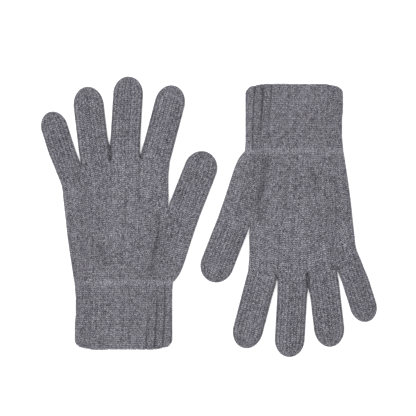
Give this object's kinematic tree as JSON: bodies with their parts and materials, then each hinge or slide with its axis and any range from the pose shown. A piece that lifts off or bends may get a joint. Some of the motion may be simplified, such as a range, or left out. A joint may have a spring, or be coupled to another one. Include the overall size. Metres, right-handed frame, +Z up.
{
  "type": "knitted gloves",
  "caption": "Grey knitted gloves with ribbed cuffs, lying flat and empty side by side, head to tail.",
  "frame": {"origin": "under the middle of the pair, on the surface the gloves rest on", "axes": "+X across the two gloves, +Y towards the left glove's fingertips and the right glove's cuff, +Z up"},
  "size_m": [0.3084, 0.256, 0.0107],
  "materials": {
    "jersey": "grey melange wool, fine stocking stitch",
    "rib": "grey melange wool, rib of three plain wales and one purl",
    "facing": "grey melange wool, the rib turned to the inside",
    "link_yarn": "grey wool yarn"
  },
  "bodies": {
    "left_hand": {"left_hand": "jersey", "left_thumb_gusset": "jersey"},
    "left_cuff": {"left_cuff": "rib", "left_cuff_facing": "facing", "left_link_yarn": "link_yarn"},
    "left_thumb": {"left_thumb": "jersey"},
    "left_little_finger": {"left_little_finger": "jersey"},
    "left_ring_finger": {"left_ring_finger": "jersey"},
    "left_middle_finger": {"left_middle_finger": "jersey"},
    "left_index_finger": {"left_index_finger": "jersey"},
    "right_hand": {"right_hand": "jersey", "right_thumb_gusset": "jersey"},
    "right_cuff": {"right_cuff": "rib", "right_cuff_facing": "facing", "right_link_yarn": "link_yarn"},
    "right_thumb": {"right_thumb": "jersey"},
    "right_little_finger": {"right_little_finger": "jersey"},
    "right_ring_finger": {"right_ring_finger": "jersey"},
    "right_middle_finger": {"right_middle_finger": "jersey"},
    "right_index_finger": {"right_index_finger": "jersey"}
  },
  "joints": [
    {"name": "right_glove_lift", "type": "slide", "parent": "left_hand", "child": "right_hand", "axis": [0, 0, 1], "range_m": [0, 0.1]},
    {"name": "left_wrist_fold", "type": "hinge", "parent": "left_hand", "child": "left_cuff", "pos_m": [-0.07803, -0.05994, 0.0082], "axis": [-1, 0, 0], "range_deg": [0, 75]},
    {"name": "left_thumb_fold", "type": "hinge", "parent": "left_hand", "child": "left_thumb", "pos_m": [-0.0225, 0.00562, 0.0082], "axis": [0.9311, -0.3649, 0], "range_deg": [0, 60]},
    {"name": "left_little_fold", "type": "hinge", "parent": "left_hand", "child": "left_little_finger", "pos_m": [-0.12976, 0.04535, 0.0082], "axis": [0.9532, 0.3024, 0], "range_deg": [0, 90]},
    {"name": "left_ring_fold", "type": "hinge", "parent": "left_hand", "child": "left_ring_finger", "pos_m": [-0.10474, 0.0569, 0.0082], "axis": [0.9934, 0.1149, 0], "range_deg": [0, 90]},
    {"name": "left_middle_fold", "type": "hinge", "parent": "left_hand", "child": "left_middle_finger", "pos_m": [-0.07703, 0.05806, 0.0082], "axis": [0.9983, -0.0576, 0], "range_deg": [0, 90]},
    {"name": "left_index_fold", "type": "hinge", "parent": "left_hand", "child": "left_index_finger", "pos_m": [-0.04892, 0.05355, 0.0082], "axis": [0.9673, -0.2538, 0], "range_deg": [0, 90]},
    {"name": "right_wrist_fold", "type": "hinge", "parent": "right_hand", "child": "right_cuff", "pos_m": [0.07803, 0.05994, 0.0082], "axis": [1, 0, 0], "range_deg": [0, 75]},
    {"name": "right_thumb_fold", "type": "hinge", "parent": "right_hand", "child": "right_thumb", "pos_m": [0.0225, -0.00562, 0.0082], "axis": [-0.9311, 0.3649, 0], "range_deg": [0, 60]},
    {"name": "right_little_fold", "type": "hinge", "parent": "right_hand", "child": "right_little_finger", "pos_m": [0.12976, -0.04535, 0.0082], "axis": [-0.9532, -0.3024, 0], "range_deg": [0, 90]},
    {"name": "right_ring_fold", "type": "hinge", "parent": "right_hand", "child": "right_ring_finger", "pos_m": [0.10474, -0.0569, 0.0082], "axis": [-0.9934, -0.1149, 0], "range_deg": [0, 90]},
    {"name": "right_middle_fold", "type": "hinge", "parent": "right_hand", "child": "right_middle_finger", "pos_m": [0.07703, -0.05806, 0.0082], "axis": [-0.9983, 0.0576, 0], "range_deg": [0, 90]},
    {"name": "right_index_fold", "type": "hinge", "parent": "right_hand", "child": "right_index_finger", "pos_m": [0.04892, -0.05355, 0.0082], "axis": [-0.9673, 0.2538, 0], "range_deg": [0, 90]}
  ]
}
